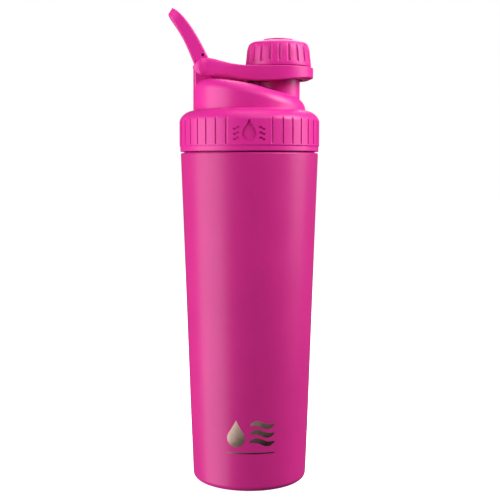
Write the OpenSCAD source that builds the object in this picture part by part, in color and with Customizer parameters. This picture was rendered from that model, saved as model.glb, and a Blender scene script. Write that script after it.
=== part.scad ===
// Insulated protein shaker: double-walled steel bottle, screw-on lid with an
// offset drinking spout, a tethered screw cap on a flip strap and a carry loop.
// Origin: centre of the flat underside. +Z is up, the spout is towards +X and
// the hinge of the strap and the loop is towards -X. Millimetres.

/* [Bottle] */
// Height of the painted body, floor to shoulder
body_h = 216.8; // [190:0.2:216.8]
// Radius of the body at the floor, before the corner is rounded
base_r = 37.5; // [36.5:0.1:38.5]
// Radius of the body at the shoulder
top_r = 45.15; // [44.8:0.05:45.3]
// Rounding of the bottom corner
base_corner = 5; // [4:0.5:6]
// Thickness of the outer steel wall
shell_t = 0.5; // [0.4:0.1:0.8]
// Thickness of the inner steel wall
liner_t = 0.4; // [0.4:0.1:0.6]
// Width of the evacuated gap between the two walls
vacuum_gap = 3.5; // [3:0.5:4]

/* [Screw neck] */
// Outer radius of the steel neck
neck_r = 40.4; // [40.2:0.1:40.6]
// Height of the neck above the shoulder
neck_h = 19.6; // [19:0.1:19.8]
// Rise of the lid for one full turn
lid_lead = 9; // [9:0.5:10]

/* [Lid] */
// Radius of the grooved grip band
grip_r = 45.9; // [45.6:0.1:46.2]
// Number of groove places round the grip band
grip_grooves = 40; // [36:2:44]
// Radius of the raised dome
dome_r = 36.8; // [36.5:0.1:37]
// Height of the dome top above the floor, on the bottle axis
dome_z = 259; // [258:0.5:259]
// Slope of the dome top, falling towards the spout
dome_tilt = 12; // [11:0.5:12.5]

/* [Spout and cap] */
// Distance from the bottle axis to the spout axis
spout_x = 18.9; // [18.5:0.1:19.2]
// Outer radius of the spout
spout_r = 14.1; // [13.8:0.1:14.2]
// Radius of the drinking bore
spout_bore_r = 11.2; // [10:0.1:11.5]
// Radius of the cap at its lower edge
cap_r = 21.4; // [21.2:0.1:21.6]
// Number of grip grooves round the cap
cap_grooves = 22; // [20:2:28]
// Rise of the cap for one full turn
cap_lead = 2.8; // [2.4:0.1:2.8]

/* [Hinge, strap and loop] */
// Distance from the bottle axis to the hinge pin
hinge_x = 30.2; // [30:0.1:30.4]
// Height of the hinge pin above the floor
hinge_z = 271.2; // [271:0.1:271.4]
// Radius of the steel hinge pin
pin_r = 1.5; // [1.4:0.1:1.6]
// Outer radius of the ring that holds the cap
ring_r = 22.85; // [22.7:0.05:23]
// Half the outer width of the strap at the hinge
cheek_y = 18; // [17.8:0.1:18.4]

/* [Hidden] */
$fn = 96;
eps = 0.01;

// Colours
paint = [0.76, 0.17, 0.50];
plastic = [0.84, 0.16, 0.56];
bare_steel = [0.74, 0.74, 0.75];
silicone = [0.90, 0.88, 0.88];

// Bottle
lip_r = 29.8;
edge_r = 0.9;
neck_top = body_h + neck_h;
neck_root = 0.8;
step_r = 43.1;
step_h = 0.9;
rim_t = 0.8;
liner_neck_r = neck_r - shell_t;
liner_floor_z = 6;
liner_corner = 9;
seal_dimple_r = 6;
seal_dimple_h = 0.9;

// Lid
lid_bottom = body_h + 1.3;
foot_band_z = 221.2;
grip_foot_r = grip_r - 0.4;
groove_z = 222;
groove_top = 240;
groove_r = 0.6;
shoulder_z = 237;
shoulder_top = 244.7;
shoulder_power = 1.75;
seat_z = neck_top + 2.4;
skirt_r = 42.9;
snap_skirt_r = 36.6;
snap_skirt_t = 1.8;
snap_skirt_z = 231;
lid_wall = 2.6;
dome_rim_r = 7;
dome_puck_r = 37.3;
gasket_r = 37.3;
gasket_w = 4;
grid_z = 226;
grid_rim_h = 10;
grid_bar = 1.6;
grid_rings = [9, 17, 25];
panel_half_places = 1;
mark_r = 4.2;
mark_depth = 0.45;

// Threads: depth and thickness at the root and at the crest
neck_thread_r = 41.9;
lid_thread_r = 41.1;
lid_thread_starts = 2;
lid_thread_z = 225;
lid_thread_turns = 0.8;
thread_root_w = 2;
thread_crest_w = 1.1;
thread_step = 10;
thread_embed = 0.3;
spout_thread_z0 = 272;
cap_thread_z0 = 273.4;
cap_thread_turns = 1.5;

// Spout and cap
spout_base_z = 250;
spout_thread_z = 267;
spout_top = 281.5;
spout_root_r = 13;
spout_thread_r = 13.9;
core_r = 19;
core_bore_r = 16;
core_thread_r = 14.5;
core_flange_z = 264.3;
core_flange_t = 1;
core_flange_r = 20;
core_ceiling = 283.7;
core_roof = 2;
cap_bottom = 272.5;
cap_top = 289.4;
cap_draft = 1.35;
cap_side_h = 12.7;
disc_r = 9.7;
disc_h = 1.3;
disc_seat = 0.8;
cap_groove_z = 275.4;
cap_groove_r = 1.1;

// Hinge
lug_y = 10.8;
lug_r = 6.4;
lug_foot_z = 255;
lug_bend_z = 263;
eye_r = 4.7;
eye_y = 14.4;
side_gap = 0.3;
pin_end_y = 16.9;
running_gap = 0.06;
cheek_r = 5.1;
cheek_inner_y = eye_y + side_gap;
ring_lip_r = 19.5;
ring_lip_z = 268.9;
ring_band_r = 20.4;
window_x = -2;
window_y = 17.8;
loop_lean = 28.5;

function bezier(p, t) =
    pow(1 - t, 3) * p[0] + 3 * pow(1 - t, 2) * t * p[1]
    + 3 * (1 - t) * t * t * p[2] + pow(t, 3) * p[3];
function curve(p, n) = [for (i = [0:n]) bezier(p, i / n)];
function arc(cx, cz, r, a0, a1, n) =
    [for (i = [0:n]) let (a = a0 + (a1 - a0) * i / n) [cx + r * cos(a), cz + r * sin(a)]];
function body_r(z) = base_r + (top_r - base_r) * z / body_h;
function liner_r(z) = body_r(z) - shell_t - vacuum_gap;

// A helical thread rib: a trapezoid swept up a right-hand helix, its ends
// fading into the wall. root is the radius in the wall, crest the free radius.
module thread_rib(root, crest, z, lead, turns, start) {
    n = round(turns * 360 / thread_step);
    fade = 4;
    function height(i) = max(0.08, min(1, i / fade, (n - i) / fade));
    points = [for (i = [0:n])
        let (a = start + i * thread_step, zc = z + lead * i * thread_step / 360,
             r = root + (crest - root) * height(i))
        each [for (q = [[root, -thread_root_w], [r, -thread_crest_w],
                        [r, thread_crest_w], [root, thread_root_w]])
            [q[0] * cos(a), q[0] * sin(a), zc + q[1] / 2]]];
    sides = [for (i = [0:n - 1]) for (k = [0:3])
        let (p = 4 * i + k, q = 4 * i + (k + 1) % 4) each [[p, q, q + 4], [p, q + 4, p + 4]]];
    ends = [[3, 2, 1], [3, 1, 0], [4 * n, 4 * n + 1, 4 * n + 2], [4 * n, 4 * n + 2, 4 * n + 3]];
    faces = [for (f = concat(sides, ends)) crest > root ? f : [f[2], f[1], f[0]]];
    polyhedron(points, faces, convexity = 8);
}

// Two walls of the bottle --------------------------------------------------
module outer_shell() {
    outer = concat(
        [[lip_r, 0]],
        arc(body_r(base_corner) - base_corner, base_corner, base_corner, -90, 0, 8),
        arc(top_r - edge_r, body_h - edge_r, edge_r, 0, 90, 4),
        [[step_r, body_h], [step_r, body_h + step_h], [neck_r + neck_root, body_h + step_h],
         [neck_r, body_h + step_h + neck_root], [neck_r, neck_top - rim_t]]);
    inner = concat(
        [[neck_r - shell_t, neck_top - rim_t], [neck_r - shell_t, body_h - shell_t],
         [top_r - shell_t, body_h - shell_t]],
        arc(body_r(base_corner) - base_corner, base_corner, base_corner - shell_t, 0, -90, 8),
        [[lip_r, shell_t]]);
    color(paint) {
        rotate_extrude() polygon(concat(outer, inner));
        for (i = [0:lid_thread_starts - 1])
            thread_rib(neck_r - thread_embed, neck_thread_r, lid_thread_z, lid_lead,
                lid_thread_turns, i * 360 / lid_thread_starts);
    }
}

module base_plate() {
    r = body_r(base_corner) - base_corner;
    low = shell_t + seal_dimple_h;
    high = low + shell_t;
    slope = 0.4;
    color(bare_steel) rotate_extrude() polygon([
        [0, low], [seal_dimple_r - 1, low], [seal_dimple_r, shell_t], [r, shell_t], [r, 2 * shell_t],
        [seal_dimple_r + slope, 2 * shell_t], [seal_dimple_r - 1 + slope, high], [0, high]]);
}

module base_cover() {
    color(paint) cylinder(r = lip_r - 0.2, h = shell_t);
}

module vacuum_seal() {
    color([0.55, 0.55, 0.58]) translate([0, 0, shell_t]) cylinder(r = 3, h = seal_dimple_h);
}

module getter_capsule() {
    color(bare_steel) translate([16, 0, 2 * shell_t]) {
        cylinder(r = 4, h = 1.2);
        cylinder(r = 2.6, h = 2);
    }
}

module inner_liner() {
    floor_r = liner_r(liner_floor_z + liner_corner) - liner_corner;
    bend_z = body_h - 10;
    bend_r = liner_r(bend_z);
    in_r = liner_neck_r - liner_t;
    outer = concat(
        [[0, liner_floor_z]],
        arc(floor_r, liner_floor_z + liner_corner, liner_corner, -90, 0, 8),
        [[bend_r, bend_z], [liner_neck_r, body_h - 1], [liner_neck_r, neck_top - rim_t],
         [neck_r, neck_top - rim_t], [neck_r, neck_top]]);
    inner = concat(
        [[in_r, neck_top], [in_r, body_h - 1], [bend_r - liner_t, bend_z]],
        arc(floor_r, liner_floor_z + liner_corner, liner_corner - liner_t, 0, -90, 8),
        [[0, liner_floor_z + liner_t]]);
    color(bare_steel) rotate_extrude() polygon(concat(outer, inner));
}

// Lid ------------------------------------------------------------------------
// Dome with a sloping top and a rounded rim; inset makes the hollow inside it
module dome(inset) {
    r = dome_r - inset;
    rim = dome_rim_r - inset / 2;
    puck = dome_puck_r - inset;
    skirt_drop = 60;
    flare = skirt_drop * tan(dome_tilt + 2);
    intersection() {
        translate([0, 0, seat_z - eps]) cylinder(r = r, h = 60);
        translate([0, 0, dome_z - inset]) rotate([0, dome_tilt, 0]) rotate_extrude() {
            translate([puck - rim, -rim]) circle(r = rim);
            polygon([[0, 0], [puck - rim, 0], [puck, -rim],
                [puck + flare, -skirt_drop], [0, -skirt_drop]]);
        }
    }
}

module lid_outline() {
    a = grip_r - dome_r + 2;
    b = shoulder_top - shoulder_z;
    n = 12;
    shoulder = [for (i = [0:n]) let (t = 90 * i / n)
        [dome_r - 2 + a * pow(cos(t), 2 / shoulder_power),
         shoulder_z + b * pow(sin(t), 2 / shoulder_power)]];
    polygon(concat(
        [[skirt_r, lid_bottom + 0.5], [skirt_r + 0.5, lid_bottom], [grip_foot_r - 0.3, lid_bottom],
         [grip_foot_r, lid_bottom + 0.3], [grip_foot_r, foot_band_z - 0.2], [grip_r, foot_band_z + 0.2]],
        shoulder,
        [[snap_skirt_r - snap_skirt_t, shoulder_top], [snap_skirt_r - snap_skirt_t, snap_skirt_z],
         [snap_skirt_r, snap_skirt_z], [snap_skirt_r, seat_z], [skirt_r, seat_z]]));
}

module grip_grooves_cut() {
    pitch = 360 / grip_grooves;
    for (i = [panel_half_places + 1:grip_grooves - panel_half_places - 1])
        rotate([0, 0, -90 + i * pitch])
            translate([grip_r, 0, groove_z]) cylinder(r = groove_r, h = groove_top - groove_z, $fn = 24);
}

// A plain water drop sunk into the smooth panel at the front
module drop_mark() {
    translate([0, -grip_r + mark_depth, 229]) rotate([90, 0, 0]) linear_extrude(3) {
        circle(r = mark_r);
        side = mark_r * cos(30);
        polygon([[-side, mark_r / 2], [side, mark_r / 2], [0, 2 * mark_r]]);
    }
}

module hinge_lug() {
    intersection() {
        translate([0, 0, seat_z]) cylinder(r = dome_r, h = 60);
        rotate([90, 0, 0]) linear_extrude(2 * lug_y, center = true) {
            translate([-hinge_x, hinge_z]) circle(r = lug_r);
            polygon([[-dome_r, lug_foot_z], [-dome_r, hinge_z], [-hinge_x + lug_r, hinge_z],
                [-hinge_x + lug_r + 3, lug_bend_z], [-hinge_x + lug_r + 5, lug_foot_z]]);
        }
    }
}

module lid_body() {
    color(plastic) difference() {
        union() {
            difference() {
                union() {
                    rotate_extrude() lid_outline();
                    dome(0);
                }
                dome(lid_wall);
                translate([0, 0, snap_skirt_z - 1])
                    cylinder(r = snap_skirt_r - snap_skirt_t, h = seat_z - snap_skirt_z + 2);
            }
            hinge_lug();
            intersection() {
                translate([spout_x, 0, spout_base_z])
                    cylinder(r = spout_r, h = spout_thread_z - spout_base_z);
                union() {
                    dome(0);
                    translate([0, 0, dome_z - 10]) cylinder(r = 60, h = 60);
                }
            }
            translate([spout_x, 0, spout_thread_z])
                cylinder(r = spout_root_r, h = spout_top - spout_thread_z);
            translate([spout_x, 0, 0])
                thread_rib(spout_root_r - thread_embed, spout_thread_r, spout_thread_z0, cap_lead,
                    cap_thread_turns, 0);
            for (i = [0:lid_thread_starts - 1])
                thread_rib(skirt_r + thread_embed, lid_thread_r,
                    lid_thread_z + lid_lead / lid_thread_starts / 2, lid_lead, lid_thread_turns,
                    i * 360 / lid_thread_starts);
        }
        translate([spout_x, 0, spout_base_z - 8]) cylinder(r = spout_bore_r, h = 60);
        translate([-hinge_x, 0, hinge_z]) rotate([90, 0, 0]) cylinder(r = pin_r, h = 40, center = true);
        grip_grooves_cut();
        drop_mark();
    }
}

module lid_gasket() {
    color(silicone) rotate_extrude()
        translate([gasket_r, neck_top + 0.1]) square([gasket_w, seat_z - neck_top - 0.15]);
}

// Snap-in mixing grid that breaks up powder under the lid
module mixing_grid() {
    outer = snap_skirt_r - snap_skirt_t - 0.05;
    rim_w = 1.5;
    color(plastic) {
        rotate_extrude() translate([outer - rim_w, grid_z]) square([rim_w, grid_rim_h]);
        for (r = grid_rings)
            rotate_extrude() translate([r, grid_z]) square([grid_bar, 2]);
        for (i = [0:5])
            rotate([0, 0, 30 * i]) difference() {
                translate([1 - outer, -grid_bar / 2, grid_z + 0.2])
                    cube([2 * outer - 2, grid_bar, grid_bar]);
                cylinder(r = grid_rings[0] + 0.5, h = 500, center = true);
            }
    }
}

module hinge_pin() {
    color(bare_steel) translate([-hinge_x, 0, hinge_z]) rotate([90, 0, 0])
        cylinder(r = pin_r, h = 2 * pin_end_y, center = true);
}

// Strap and loop ---------------------------------------------------------------
// Side view of the strap: a round hinge end, then a waisted band to the ring
module strap_side() {
    top = curve([[-27, 277.5], [-14, 275.2], [-10, 272.1], [6, 272.1]], 10);
    bottom = curve([[28, 263.7], [10, 260.6], [-4, 264], [-21, 266]], 12);
    hinge_end = arc(-hinge_x, hinge_z, cheek_r, 270, 90, 16);
    polygon(concat(hinge_end, top, [[44, 272.2], [44, 265.6]], bottom));
}

// Plan of the strap: rounded ends at the hinge, arms that widen to the ring
module strap_plan() {
    corner = 5;
    end_x = -hinge_x - cheek_r - 1 + corner;
    tangent = 96;
    polygon(concat(arc(spout_x, 0, ring_r, -tangent, tangent, 48),
        arc(end_x, cheek_y - corner, corner, 90, 180, 8),
        arc(end_x, corner - cheek_y, corner, 180, 270, 8)));
}

// Open space between the arms, from the hinge to the ring
module strap_window() {
    difference() {
        half = [[-50, cheek_inner_y], [-22, cheek_inner_y], [window_x, window_y], [spout_x, window_y]];
        for (s = [0, 1])
            mirror([0, s]) polygon(concat([[-50, 0]], half, [[spout_x, 0]]));
        translate([spout_x, 0]) circle(r = ring_r);
    }
}

module cap_strap() {
    low = 255;
    color(plastic) difference() {
        intersection() {
            rotate([90, 0, 0]) linear_extrude(60, center = true) strap_side();
            translate([0, 0, low]) linear_extrude(30) difference() {
                strap_plan();
                strap_window();
            }
        }
        translate([spout_x, 0, low]) {
            cylinder(r = ring_lip_r, h = 30);
            cylinder(r = ring_band_r, h = ring_lip_z - low);
        }
        translate([-hinge_x, 0, hinge_z]) rotate([90, 0, 0])
            cylinder(r = pin_r + running_gap, h = 2 * pin_end_y + 0.4, center = true);
    }
}

module loop_side() {
    front = curve([[-26, 277.3], [-32, 289.3], [-38.2, 302], [-48.9, 310.2]], 12);
    back = curve([[-52.4, 305], [-45.6, 294.8], [-39.8, 284.2], [-35.2, 272.4]], 10);
    tip = [[-50.2, 310.7], [-51.4, 309.7], [-52.7, 307], [-52.7, 306]];
    polygon(concat([[-hinge_x + 4, hinge_z + 1]], front, tip, back, [[-hinge_x - 1, hinge_z - 2]]));
}

// Arch seen along the loop's own length, height measured from the hinge pin
module loop_arch() {
    outer_corner = 9;
    inner_corner = 6;
    reach = 45;
    inner_reach = 36;
    inner_y = lug_y + side_gap;
    difference() {
        union() {
            translate([-eye_y, -10]) square([2 * eye_y, reach - outer_corner + 10]);
            translate([-eye_y + outer_corner, 0]) square([2 * (eye_y - outer_corner), reach]);
        }
        translate([-inner_y, -12]) square([2 * inner_y, inner_reach - inner_corner + 12]);
        translate([-inner_y + inner_corner, 0]) square([2 * (inner_y - inner_corner), inner_reach]);
        for (s = [-1, 1])
            translate([s * (inner_y - inner_corner), inner_reach - inner_corner])
                circle(r = inner_corner);
    }
}

module carry_loop() {
    color(plastic) difference() {
        union() {
            intersection() {
                rotate([90, 0, 0]) linear_extrude(40, center = true) loop_side();
                translate([-hinge_x, 0, hinge_z]) rotate([0, -loop_lean, 0])
                    rotate([90, 0, 90]) linear_extrude(60, center = true) loop_arch();
            }
            for (s = [-1, 1])
                translate([-hinge_x, s * (eye_y + lug_y + side_gap) / 2, hinge_z]) rotate([90, 0, 0])
                    cylinder(r = eye_r, h = eye_y - lug_y - side_gap, center = true);
        }
        translate([-hinge_x, 0, hinge_z]) rotate([90, 0, 0])
            cylinder(r = pin_r + running_gap, h = 60, center = true);
    }
}

// Cap ------------------------------------------------------------------------
module cap_core() {
    color(plastic) translate([spout_x, 0, 0]) {
        rotate_extrude() polygon([
            [core_bore_r, core_flange_z], [core_flange_r, core_flange_z],
            [core_flange_r, core_flange_z + core_flange_t], [core_r, core_flange_z + core_flange_t],
            [core_r, core_ceiling + core_roof], [0, core_ceiling + core_roof],
            [0, core_ceiling], [core_bore_r, core_ceiling]]);
        thread_rib(core_bore_r + thread_embed, core_thread_r, cap_thread_z0, cap_lead,
            cap_thread_turns, 0);
    }
}

module cap_profile() {
    shoulder = curve([[cap_r - cap_draft, cap_bottom + cap_side_h], [cap_r - 1.8, cap_top - 1.4],
        [cap_r - 4.2, cap_top - 0.5], [disc_r, cap_top]], 10);
    foot = [[core_r, cap_bottom], [cap_r - 0.3, cap_bottom], [cap_r, cap_bottom + 0.5]];
    polygon(concat(foot, shoulder,
        [[disc_r, cap_top - disc_seat], [0, cap_top - disc_seat], [0, core_ceiling + core_roof],
         [core_r, core_ceiling + core_roof]]));
}

module cap_grip() {
    lean = atan2(cap_draft, cap_side_h);
    color(plastic) translate([spout_x, 0, 0]) difference() {
        rotate_extrude() cap_profile();
        for (i = [0:cap_grooves - 1])
            rotate([0, 0, (i + 0.25) * 360 / cap_grooves])
                translate([cap_r, 0, cap_groove_z]) rotate([0, -lean, 0])
                    cylinder(r = cap_groove_r, h = 20, $fn = 24);
    }
}

module cap_disc() {
    color(plastic) translate([spout_x, 0, cap_top - disc_seat])
        cylinder(r = disc_r - 0.1, h = disc_seat + disc_h);
}

module cap_gasket() {
    color(silicone) translate([spout_x, 0, spout_top + 0.05])
        cylinder(r = core_bore_r - 0.3, h = core_ceiling - spout_top - 0.1);
}

outer_shell();
base_plate();
base_cover();
vacuum_seal();
getter_capsule();
inner_liner();
lid_body();
lid_gasket();
mixing_grid();
hinge_pin();
cap_strap();
carry_loop();
cap_core();
cap_grip();
cap_disc();
cap_gasket();
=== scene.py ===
"""Insulated shaker bottle: the visible surfaces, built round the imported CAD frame.

The makers below work in millimetres; mesh_piece() turns them into metres.
"""

import math

import bmesh
import bpy
import numpy as np
from mathutils import Matrix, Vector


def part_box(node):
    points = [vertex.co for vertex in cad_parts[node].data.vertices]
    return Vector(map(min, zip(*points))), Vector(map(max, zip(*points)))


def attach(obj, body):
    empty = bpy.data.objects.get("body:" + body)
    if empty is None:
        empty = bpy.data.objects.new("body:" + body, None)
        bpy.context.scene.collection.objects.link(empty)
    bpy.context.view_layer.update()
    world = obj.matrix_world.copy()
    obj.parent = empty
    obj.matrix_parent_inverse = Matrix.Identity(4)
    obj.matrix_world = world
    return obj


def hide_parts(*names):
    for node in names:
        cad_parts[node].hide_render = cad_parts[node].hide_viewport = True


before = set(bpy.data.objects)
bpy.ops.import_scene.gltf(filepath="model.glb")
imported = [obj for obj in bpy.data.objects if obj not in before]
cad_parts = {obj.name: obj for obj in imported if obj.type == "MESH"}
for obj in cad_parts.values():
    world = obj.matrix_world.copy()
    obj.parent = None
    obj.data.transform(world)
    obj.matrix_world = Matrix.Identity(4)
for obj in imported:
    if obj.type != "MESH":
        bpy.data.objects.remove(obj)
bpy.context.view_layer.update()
MM = 0.001


def box_mm(node):
    """A node's lowest and highest corners, in millimetres."""
    lo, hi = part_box(node)
    return lo / MM, hi / MM


# Sizes that follow from the frame
SHELL_HI = box_mm("outer_shell")[1]
TOP_R = SHELL_HI.x
NECK_TOP = box_mm("inner_liner")[1].z
BODY_H = NECK_TOP - 19.6
BASE_R = TOP_R - 7.65
COVER_R = box_mm("base_cover")[1].x + 0.2
PAINT_TOP = BODY_H + 2.6
LID_LO, LID_HI = box_mm("lid_body")
GRIP_R = LID_HI.y
LID_BOTTOM = LID_LO.z
SKIRT_Z = LID_BOTTOM - 0.42
SPOUT_TOP = LID_HI.z
CAP_LO, CAP_HI = box_mm("cap_grip")
CAP_X = (CAP_LO.x + CAP_HI.x) / 2
CAP_R = (CAP_HI.x - CAP_LO.x) / 2
CAP_LOW = CAP_LO.z
DISC_TOP = box_mm("cap_disc")[1].z
DISC_R = box_mm("cap_disc")[1].y
PIN_LO, PIN_HI = box_mm("hinge_pin")
HINGE_X = (PIN_LO.x + PIN_HI.x) / 2
HINGE_Z = (PIN_LO.z + PIN_HI.z) / 2
PIN_R = (PIN_HI.x - PIN_LO.x) / 2
RING_R = box_mm("cap_strap")[1].y

# Body
SKIN = 0.5
BASE_CORNER = 5
NECK_R = 40.4
STEP_R = 43.1
STEP_H = 0.5
NECK_LOW = BODY_H - 1.1
THREAD_LEAD = 9
THREAD_TURNS = 0.8
THREAD_STARTS = 2
MARK_DEPTH = -0.2
MARK_PROUD = 0.035
MARK_WAVE_Z = (44.2, 38.6, 33.0)
MARK_BAR_Z = (25.3, 26.2)

# Colours and studio
PAINT_TONE = (0.437, 0.0166, 0.169)
LID_TONE = (0.545, 0.0165, 0.223)
GRID_TONE = (0.525, 0.0165, 0.216)
FILL = 0.08
CAMERA_PLACE = (0.0004, -0.6628, 0.2063)
CAMERA_DROP = 4.62
FLOOR_REACH = 6000

# Lid
DOME_R = 36.8
SHOULDER_Z = BODY_H + 20.2
SHOULDER_H = 7.2
SHOULDER_R = 37.3
FILLET = 0.5
SEAT_Z = NECK_TOP + 2.4
GROOVE_COUNT = 40
GROOVE_Z = 222.0
DOME_WALL = 2.6
HOLLOW_Z = 240
COLLAR_BORE_R = 42.95
SPOUT_BORE_R = 11.2
SPOUT_R = 14.1
SPOUT_ROOT_R = 13.0
CAP_LEAD = 2.8
EMBLEM_DROP_Z = 228.2
EMBLEM_WAVE_Z = (231.5, 228.3, 225.1)
EMBLEM_DEPTH = -0.7

# Strap and loop
BORE_R = 20.4
LIP_R = 19.5
LIP_Z = 269.1
EASE = 0.06
LOOP_LEAN = math.radians(28.5)
LOOP_OUT = 14.4
LOOP_IN = 11.1
LOOP_STEPS = 24
LEG_END = 0.55
BEND_END = 0.85

# Cap
CORE_R = 19
FLUTES = 22
FLUTE = 1.0
FIRST_FLUTE = -90 + 1.0
FLUTE_LOW = 275.3
FLUTE_TAPER = 0.092
CAP_CEILING = 285.6
CAP_SIDE_Z = (277.5, 279, 280.5, 282, 283.5, 284.6, 285.4, 286.1, 286.7, 287.2, 287.6, 287.95, 288.3)
CAP_CREST_Z = (288.58, 288.8, 289, 289.1, 289.2, 289.27, 289.33)


# Curves -------------------------------------------------------------------------------
def monotone(points):
    """A smooth curve y(x) through the points, without overshoot."""
    x, y = (np.array(v, float) for v in zip(*points))
    h = np.diff(x)
    d = np.diff(y) / h
    m = np.zeros_like(y)
    m[0], m[-1] = d[0], d[-1]
    for i in range(1, len(y) - 1):
        if d[i - 1] * d[i] > 0:
            w1, w2 = 2 * h[i] + h[i - 1], h[i] + 2 * h[i - 1]
            m[i] = (w1 + w2) / (w1 / d[i - 1] + w2 / d[i])

    def value(q):
        q = np.clip(q, x[0], x[-1])
        i = np.clip(np.searchsorted(x, q) - 1, 0, len(h) - 1)
        t = (q - x[i]) / h[i]
        return (y[i] * (1 + 2 * t) * (1 - t) ** 2 + h[i] * m[i] * t * (1 - t) ** 2
                + y[i + 1] * t * t * (3 - 2 * t) + h[i] * m[i + 1] * t * t * (t - 1))

    return value


def bezier(points, n):
    """A cubic curve through the first and last of four points."""
    p = np.array(points, float)
    t = np.linspace(0, 1, n)[:, None]
    u = 1 - t
    return u ** 3 * p[0] + 3 * u ** 2 * t * p[1] + 3 * u * t * t * p[2] + t ** 3 * p[3]


def rounded(corners, closed=False, steps=6):
    """A polyline whose corners (a, b, radius) are rounded."""
    out = []
    n = len(corners)
    for i, (a, b, r) in enumerate(corners):
        p = np.array([a, b], float)
        if r <= 0 or (not closed and i in (0, n - 1)):
            out.append(p)
            continue
        u = np.array(corners[i - 1][:2], float) - p
        v = np.array(corners[(i + 1) % n][:2], float) - p
        lu, lv = np.linalg.norm(u), np.linalg.norm(v)
        u, v = u / lu, v / lv
        half = math.acos(max(-1, min(1, float(u @ v)))) / 2
        if abs(half - math.pi / 2) < 1e-3:
            out.append(p)
            continue
        cut = min(r / math.tan(half), 0.49 * lu, 0.49 * lv)
        r = cut * math.tan(half)
        centre = p + (u + v) / np.linalg.norm(u + v) * (r / math.sin(half))
        s, e = p + u * cut - centre, p + v * cut - centre
        a0 = math.atan2(s[1], s[0])
        turn = (math.atan2(e[1], e[0]) - a0 + math.pi) % (2 * math.pi) - math.pi
        for k in range(steps + 1):
            w = a0 + turn * k / steps
            out.append(centre + r * np.array([math.cos(w), math.sin(w)]))
    return np.array(out)


def smoothstep(x, a, b):
    """0 at a, 1 at b, and level at both."""
    t = np.clip((x - a) / (b - a), 0, 1)
    return t * t * (3 - 2 * t)


# Meshes -------------------------------------------------------------------------------
def mesh_piece(name, verts, faces):
    """An object in the scene from points in millimetres."""
    me = bpy.data.meshes.new(name)
    me.from_pydata((np.asarray(verts, float) * MM).tolist(), [], faces)
    me.update()
    ob = bpy.data.objects.new(name, me)
    bpy.context.scene.collection.objects.link(ob)
    return ob


def sweep(name, sections, ring=False):
    """A closed solid through equal loops of points; the ends are closed unless it is a ring."""
    s = np.asarray(sections, float)
    n, m = s.shape[:2]
    verts = s.reshape(-1, 3).tolist()
    faces = []
    for i in range(n if ring else n - 1):
        a, b = i * m, (i + 1) % n * m
        for k in range(m):
            j = (k + 1) % m
            faces.append((a + k, a + j, b + j, b + k))
    if not ring:
        for a, flip in ((0, True), ((n - 1) * m, False)):
            c = len(verts)
            verts.append(s[a // m].mean(axis=0).tolist())
            for k in range(m):
                j = (k + 1) % m
                faces.append((c, a + j, a + k) if flip else (c, a + k, a + j))
    ob = mesh_piece(name, verts, faces)
    v = np.array(verts)
    volume = 0.0
    for f in faces:
        for k in range(1, len(f) - 1):
            volume += float(np.dot(v[f[0]], np.cross(v[f[k]], v[f[k + 1]])))
    if volume < 0:
        ob.data.flip_normals()
    return ob


def lathe(name, profile, x=0.0, n=192, ring=False):
    """A profile of (r, z) turned about the upright line through x."""
    a = np.linspace(0, 2 * math.pi, n, endpoint=False)
    rows = [np.stack([x + r * np.cos(a), r * np.sin(a), np.full(n, z)], 1) for r, z in profile]
    return sweep(name, rows, ring)


def rib(name, root, crest, z, lead, turns, start, x=0.0):
    """A right-hand helical thread with a soft crest, fading into the wall at both ends."""
    n = int(turns * 90)
    flank = [(1, 0.36), (0.9, 0.58), (0.6, 0.72), (0, 1)]
    shape = [(d, -w) for d, w in reversed(flank)] + flank
    loops = []
    for i in range(n + 1):
        a = math.radians(start + i * 360 * turns / n)
        up = z + lead * turns * i / n
        h = max(0.06, min(1, i / 9, (n - i) / 9)) ** 0.7
        loops.append([(x + (root + (crest - root) * h * d) * math.cos(a),
                       (root + (crest - root) * h * d) * math.sin(a), up + w) for d, w in shape])
    return sweep(name, loops)


def cylinder_y(name, x, z, r, y0, y1, n=48):
    """A round bar along y."""
    a = np.linspace(0, 2 * math.pi, n, endpoint=False)
    return sweep(name, [np.stack([x + r * np.cos(a), np.full(n, y), z + r * np.sin(a)], 1) for y in (y0, y1)])


def combine(base, tools, operation):
    """Applies boolean tools to base, and removes them."""
    for t in tools:
        m = base.modifiers.new("cut", "BOOLEAN")
        m.operation, m.solver, m.object = operation, "MANIFOLD", t
        dg = bpy.context.evaluated_depsgraph_get()
        me = bpy.data.meshes.new_from_object(base.evaluated_get(dg))
        base.modifiers.clear()
        old = base.data
        base.data = me
        bpy.data.meshes.remove(old)
        bpy.data.objects.remove(t)
    return base


def join(objects):
    """Several separate solids as one object."""
    bm = bmesh.new()
    for ob in objects:
        bm.from_mesh(ob.data)
    bm.to_mesh(objects[0].data)
    bm.free()
    for ob in objects[1:]:
        bpy.data.objects.remove(ob)
    return objects[0]


def finish_piece(ob, body, slot, material, *nodes, sharp=34):
    """Smooth shading with true edges, the material, and the piece's place in the frame."""
    me = ob.data
    me.materials.clear()
    me.materials.append(material)
    for p in me.polygons:
        p.use_smooth = True
        p.material_index = 0
    me.set_sharp_from_angle(angle=math.radians(sharp))
    w = ob.modifiers.new("even_shading", "WEIGHTED_NORMAL")
    w.keep_sharp = True
    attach(ob, body)
    if nodes:
        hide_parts(*nodes)
    return ob


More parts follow.
